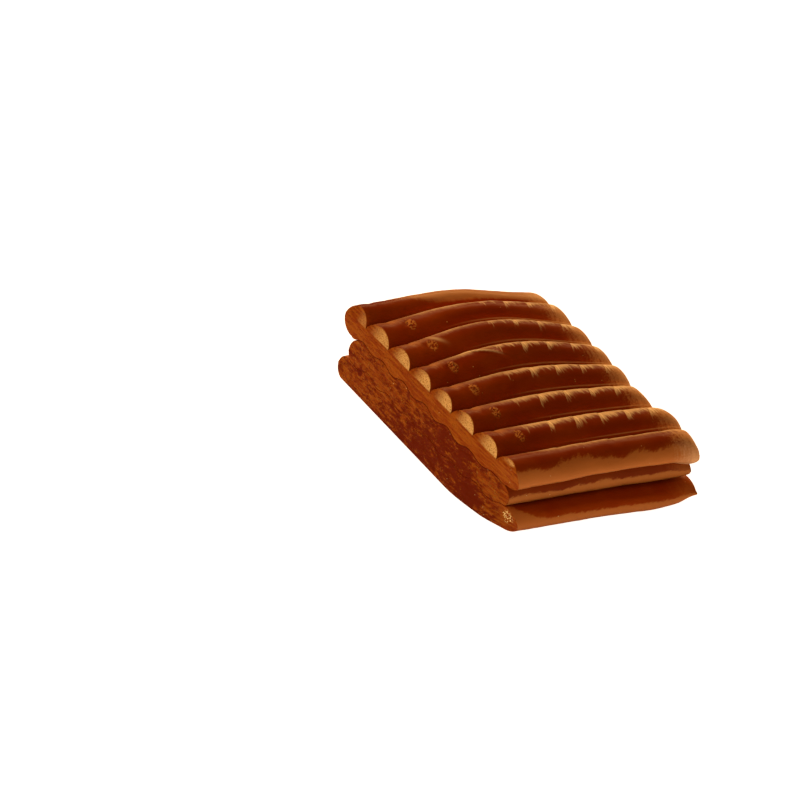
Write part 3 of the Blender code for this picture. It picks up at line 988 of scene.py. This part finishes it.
def caramel(name, look, finish):
    """Glossy caramel: dark and saturated, paler where the roller and the blade scuffed it, with painted
    light, highlights and shade.

    Every belt has painted light from below on its outer sides, painted shade underneath, a right end
    that is worn and painted lighter, cut faces with streaks along the cut, and a few crumbs, partly
    painted glints. The ribbed top belt has the roller's scuffs with painted highlights on the back
    flanks and rims, painted shade on its crests, speckled dimples, painted light behind the facets,
    and pale facets, partly painted light. The cut faces of the lower belts are torn, with a pit and
    crystals with painted glints.
    faces of the lower belts are torn, with a pit and crystals.
    """
    material = bpy.data.materials.new(name)
    nodes = CaramelNodes(material)
    patches, flecks = torn_patches(nodes)
    crumb = nodes.between(nodes.scattered(CRUMB_DENSITY), *CRUMB_DISTANCE)
    cut, grain = nodes.cut, nodes.grain
    height = nodes.feather * 0.5 + grain * 0.2 + crumb * 0.8
    height = height + cut * (nodes.blade * 0.9 + grain * 0.8 + flecks * 1.5)
    roughness = 0.26 + 0.12 * grain + 0.50 * cut
    skin = clean_skin(nodes, look, finish.shade)
    sides = painted_light_sides(nodes, finish)
    worn_and_lit = end_wear_and_highlight(nodes)
    streaks = nodes.between(nodes.blade, *BLADE_EDGE)
    face = nodes.mix(streaks, opaque(look.cut_deep), opaque(look.cut_warm))
    if finish.ribbed:
        inner_ropes = nodes.strip(*INNER_ROPES_Y) * nodes.on_ribs
        scuff, back_rope_highlight = roller_scuff_and_highlight(nodes, inner_ropes, worn_and_lit)
        speckle = dimple_speckle(nodes, inner_ropes)
        smear = pinch_painted_light(nodes, inner_ropes)
        # Painted shade darkens the crests of the ribs.
        skin = nodes.darken(nodes.hill(nodes.share, *CREST_SHADE_AT) * nodes.on_ribs, skin, CREST_SHADE_TINT)
        # Painted light on the sides, the right end, the rear rope and behind the facets, and the dimple
        # speckles.
        rubbed = nodes.highest(sides, 0.85 * worn_and_lit, 0.8 * speckle, 0.50 * back_rope_highlight, 0.4 * smear)
        skin = skin_with_painted_light_and_shade(nodes, look, skin, rubbed)
        skin = nodes.mix(scuff, skin, opaque(look.scuff_and_highlight_colour))
        colour = nodes.mix(cut, skin, face)
        # The facets are paler: a smeared finish, and partly painted light.
        facet = nodes.facet * nodes.between(grain, *FACET_GRAIN)
        colour = nodes.mix(facet, colour, opaque(look.facet_and_light_colour))
        # Pale crumbs, partly painted glints.
        colour = nodes.mix(crumb * CRUMB_STRENGTH, colour, opaque(look.crumb_and_glint_colour))
        height = height + scuff * 0.3 + speckle * 1.5
        roughness = roughness + 0.12 * scuff
    else:
        # Painted light from below on the sides and at the right end, and painted shade underneath.
        skin = skin_with_painted_light_and_shade(nodes, look, skin, nodes.highest(sides, 0.25 * worn_and_lit))
        face = torn_face(nodes, look, face, patches, flecks)
        colour = nodes.mix(cut, skin, face)
        pit = nodes.between(nodes.spot(*PIT), 0.3, 0.5)
        colour = nodes.mix(pit, colour, opaque(look.cut_dark))
        # Pale crumbs, partly painted glints.
        colour = nodes.mix(crumb * CRUMB_STRENGTH, colour, opaque(look.crumb_and_glint_colour))
        # Painted glints on the crystals at the front of the cut.
        crystals = nodes.between(nodes.scattered(CRYSTAL_DENSITY), *CRYSTAL_DISTANCE)
        painted_glint = nodes.between(nodes.spot(*GLINT_SPOT), 0.15, 0.5) * crystals
        colour = nodes.mix(painted_glint, colour, opaque(look.painted_glint_colour))
    bump_inputs = {"Strength": 1.0, "Distance": look.fine_relief, "Height": height}
    shader = nodes.add(
        "ShaderNodeBsdfPrincipled",
        inputs={
            "Base Color": colour,
            "Roughness": roughness,
            "Normal": nodes.add("ShaderNodeBump", inputs=bump_inputs),
            "IOR": INDEX_OF_REFRACTION,
            "Specular IOR Level": GLOSS_LEVEL,
            "Specular Tint": opaque(look.gloss_tint),
        },
    )
    nodes.add("ShaderNodeOutputMaterial", inputs={"Surface": shader})
    return material


def colour_property(name, description, default):
    """A property that holds a colour."""
    return FloatVectorProperty(
        name=name, description=description, subtype="COLOR", default=default, min=0, max=1
    )


def length_property(name, description, default):
    """A property that holds a length in metres."""
    return FloatProperty(name=name, description=description, default=default, min=0, unit="LENGTH")


class CaramelShape(bpy.types.PropertyGroup):
    """Sizes of the marks on the belts."""

    crimp_depth: length_property("Crimp depth", "Depth of the dents along the grooves", 0.00005)
    dimple_depth: length_property("Dimple depth", "Depth of the rough hollows near the left cut", 0.00016)
    cut_roughness: length_property("Cut roughness", "Height of the torn surface on the cut faces", 0.00005)


class CaramelLook(bpy.types.PropertyGroup):
    """Colours and finish of the caramel."""

    deep_colour: colour_property("Deep colour", "The darkest skin", (0.270, 0.0300, 0.0011))
    warm_colour: colour_property("Warm colour", "The lighter skin in the clouds", (0.310, 0.0460, 0.0022))
    # Pale scuffs, partly roller marks and partly painted highlights on the back flanks and rims.
    scuff_and_highlight_colour: colour_property("Scuff colour", "The pale feathery scuffs", (1.00, 0.68, 0.360))
    # Painted light on the lower halves of the sides, at the right end, on the rear rope and behind the
    # facets; also the colour of the dimple speckles.
    rub_and_light_colour: colour_property(
        "Rubbed colour", "The pale lower halves of the sides", (0.64, 0.222, 0.046)
    )
    cut_deep: colour_property(
        "Cut streaks, deep", "The darker streaks of the cut faces", (0.190, 0.0255, 0.0004)
    )
    cut_warm: colour_property(
        "Cut streaks, warm", "The lighter streaks of the cut faces", (0.285, 0.0700, 0.0040)
    )
    cut_dark: colour_property(
        "Cut patches", "The dark patches of the lower cut faces", (0.112, 0.0090, 0.0001)
    )
    # Small pale crumbs, partly painted glints.
    crumb_and_glint_colour: colour_property("Crumb colour", "Small pale crumbs", (0.95, 0.62, 0.28))
    fleck_colour: colour_property(
        "Fleck colour", "Pale torn flecks on the lower cut faces", (0.38, 0.150, 0.022)
    )
    # Painted glints on the crystals at the front of the bottom cut.
    painted_glint_colour: colour_property(
        "Glitter colour", "The crystals at the front of the bottom cut", (1.0, 0.76, 0.30)
    )
    # The pale facets: a smeared finish, and partly painted light where they face the left light.
    facet_and_light_colour: colour_property(
        "Facet colour", "The pale sheared ends of the top ropes", (0.65, 0.380, 0.130)
    )
    gloss_tint: colour_property("Gloss tint", "Tint of reflections", (1.0, 0.55, 0.20))
    fine_relief: length_property("Fine relief", "Height of the finest streaks and grain", 0.00003)


class CaramelStudio(bpy.types.PropertyGroup):
    """The floor and the lights."""

    floor_colour: colour_property("Floor colour", "The pale floor", (0.8, 0.8, 0.8))
    floor_light: colour_property("Floor light", "Colour of the floor's own light", (1.0, 0.97, 0.93))
    floor_glow: FloatProperty(
        name="Floor glow", description="Light that the floor gives off itself", default=1.05, min=0,
    )
    light_colour: colour_property("Light colour", "Colour of the soft lights", (1.0, 0.66, 0.30))
    brightness: FloatProperty(
        name="Brightness", description="Multiplies the power of every light", default=1.0, min=0,
    )
    room_colour: colour_property("Room colour", "Colour of the light from the room", (1.0, 0.62, 0.32))
    room: FloatProperty(
        name="Room", description="Light from the room all round", default=0.10, min=0,
    )


def add_floor(scene, studio):
    """A pale floor that gives off some light of its own, and that glossy reflections miss."""
    mesh = bpy.data.meshes.new("floor")
    reach = FLOOR_REACH
    corners = [(-reach, -reach, 0), (reach, -reach, 0), (reach, reach, 0), (-reach, reach, 0)]
    mesh.from_pydata(corners, [], [(0, 1, 2, 3)])
    floor = bpy.data.objects.new("floor", mesh)
    scene.collection.objects.link(floor)
    material = bpy.data.materials.new("floor_paint")
    nodes = Nodes(material)
    paint = nodes.add(
        "ShaderNodeBsdfPrincipled",
        inputs={
            "Base Color": opaque(studio.floor_colour),
            "Roughness": 0.9,
            "Specular IOR Level": 0.1,
            "Emission Color": opaque(studio.floor_light),
            "Emission Strength": studio.floor_glow,
        },
    )
    nodes.add("ShaderNodeOutputMaterial", inputs={"Surface": paint})
    mesh.materials.append(material)
    floor.visible_glossy = False


def add_lights(scene, studio):
    """Three soft rectangular lights aimed at the candy."""
    for name, spot, size, watts in LIGHTS:
        lamp = bpy.data.lights.new(f"{name}_light", "AREA")
        lamp.shape = "RECTANGLE"
        lamp.size, lamp.size_y = size
        lamp.energy = watts * studio.brightness
        lamp.color = studio.light_colour
        holder = bpy.data.objects.new(f"{name}_light", lamp)
        holder.location = spot
        aim = Vector(LIGHTS_AIM) - Vector(spot)
        holder.rotation_euler = aim.to_track_quat("-Z", "Y").to_euler()
        scene.collection.objects.link(holder)


def add_room(scene, studio):
    """Dim warm light from all round."""
    world = bpy.data.worlds.new("soft_room")
    scene.world = world
    nodes = Nodes(world)
    light = {"Color": opaque(studio.room_colour), "Strength": studio.room}
    sky = nodes.add("ShaderNodeBackground", inputs=light)
    nodes.add("ShaderNodeOutputWorld", inputs={"Surface": sky})


def add_camera(scene):
    """The camera that was fitted to the photo's perspective."""
    camera = bpy.data.cameras.new("camera")
    camera.lens = LENS
    camera.sensor_width = SENSOR
    camera.clip_start = NEAREST
    holder = bpy.data.objects.new("camera", camera)
    turn = Matrix((CAMERA_RIGHT, CAMERA_UP, CAMERA_BACK)).transposed().to_4x4()
    holder.matrix_world = Matrix.Translation(Vector(CAMERA_PLACE) * MM) @ turn
    scene.collection.objects.link(holder)
    scene.camera = holder
    scene.view_settings.view_transform = "Standard"


class CARAMEL_OT_belts(bpy.types.Operator):
    """Adds the three belts of ropes and lays their caramel on them."""

    bl_idname = "caramel.belts"
    bl_label = "Belts"

    def execute(self, context):
        shape = context.scene.caramel_shape
        look = context.scene.caramel_look
        for layer, (name, edge, widths) in enumerate(BELTS):
            material = caramel(f"caramel_{name}", look, FINISH[name])
            parts = belt_mesh(layer, edge, widths, shape)
            piece = add_mesh(f"ribbed_belt_{name}", *parts, material)
            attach(piece, "root")
            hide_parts(f"belt_{name}")
        return {"FINISHED"}


class CARAMEL_OT_studio(bpy.types.Operator):
    """Adds the pale floor, the soft lights and the camera."""

    bl_idname = "caramel.studio"
    bl_label = "Studio"

    def execute(self, context):
        scene = context.scene
        studio = scene.caramel_studio
        add_floor(scene, studio)
        add_lights(scene, studio)
        add_room(scene, studio)
        add_camera(scene)
        return {"FINISHED"}


class CARAMEL_PT_panel(bpy.types.Panel):
    """Lists the operators and the values they read."""

    bl_idname = "CARAMEL_PT_panel"
    bl_label = "Caramel Belt Candy"
    bl_space_type = "VIEW_3D"
    bl_region_type = "UI"
    bl_category = "Caramel"

    def draw(self, context):
        scene = context.scene
        for group in (scene.caramel_shape, scene.caramel_look, scene.caramel_studio):
            for name in group.__annotations__:
                self.layout.prop(group, name)
        self.layout.operator(CARAMEL_OT_belts.bl_idname)
        self.layout.operator(CARAMEL_OT_studio.bl_idname)


CLASSES = (
    CaramelShape,
    CaramelLook,
    CaramelStudio,
    CARAMEL_OT_belts,
    CARAMEL_OT_studio,
    CARAMEL_PT_panel,
)


def register():
    for cls in CLASSES:
        bpy.utils.register_class(cls)
    bpy.types.Scene.caramel_shape = PointerProperty(type=CaramelShape)
    bpy.types.Scene.caramel_look = PointerProperty(type=CaramelLook)
    bpy.types.Scene.caramel_studio = PointerProperty(type=CaramelStudio)


def unregister():
    del bpy.types.Scene.caramel_studio
    del bpy.types.Scene.caramel_look
    del bpy.types.Scene.caramel_shape
    for cls in reversed(CLASSES):
        bpy.utils.unregister_class(cls)


def main():
    """Makes the belts and the studio."""
    register()
    bpy.ops.caramel.belts()
    bpy.ops.caramel.studio()


if __name__ == "__main__":
    main()
